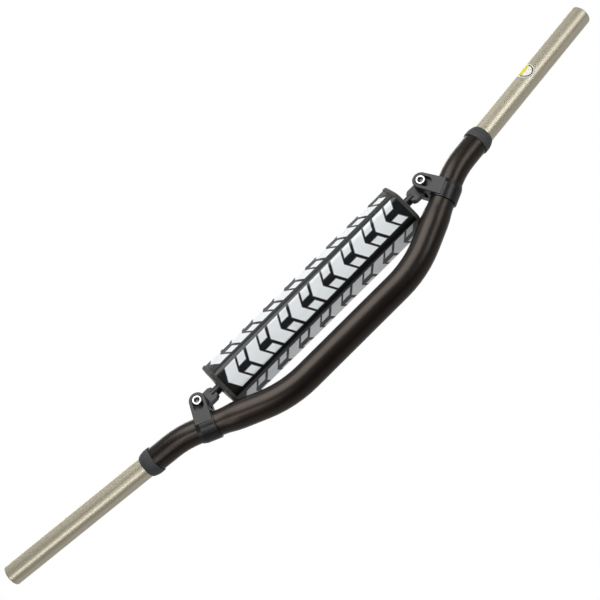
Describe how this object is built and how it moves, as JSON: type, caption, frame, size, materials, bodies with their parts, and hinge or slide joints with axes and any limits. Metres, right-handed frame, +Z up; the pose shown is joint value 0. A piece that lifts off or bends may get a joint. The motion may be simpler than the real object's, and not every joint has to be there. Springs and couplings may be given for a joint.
{
  "type": "motocross handlebar",
  "caption": "Bent twin-tube motocross handlebar with a full-length inner tube, a thicker outer tube, clamped crossbar and hexagonal foam crossbar pad in a vinyl cover",
  "frame": {"origin": "middle of the central clamping zone, on the tube's axis", "axes": "+X along the bar to the rider's left hand, -Y to the front of the motorbike, +Y towards the rider, +Z up in the plane of the rises"},
  "size_m": [0.817, 0.0776, 0.1208],
  "materials": {
    "grip_anodised": "satin hard anodised, champagne grey",
    "bar_anodised": "satin anodised, bronze black",
    "collar_rubber": "matte",
    "clamp_anodised": "satin anodised, dark grey",
    "bolt_zinc": "bright zinc plated",
    "foam": "closed-cell foam",
    "pad_vinyl": "glossy printed vinyl",
    "pad_panel": "olive grey cloth",
    "pad_binding": "woven tape",
    "closure_tape": "hook and loop tape"
  },
  "bodies": {
    "root": {"inner_tube": "grip_anodised", "outer_tube": "bar_anodised", "left_end_collar": "collar_rubber", "right_end_collar": "collar_rubber", "left_bar_clamp": "clamp_anodised", "right_bar_clamp": "clamp_anodised", "left_clamp_bolt": "bolt_zinc", "right_clamp_bolt": "bolt_zinc", "left_crossbar_end": "clamp_anodised", "right_crossbar_end": "clamp_anodised", "crossbar_tube": "clamp_anodised", "pad_foam": "foam", "pad_cover": "pad_vinyl", "left_pad_end": "pad_panel", "right_pad_end": "pad_panel", "left_pad_binding": "pad_binding", "right_pad_binding": "pad_binding", "pad_loop_strip": "closure_tape", "pad_hook_strip": "closure_tape"}
  },
  "joints": []
}
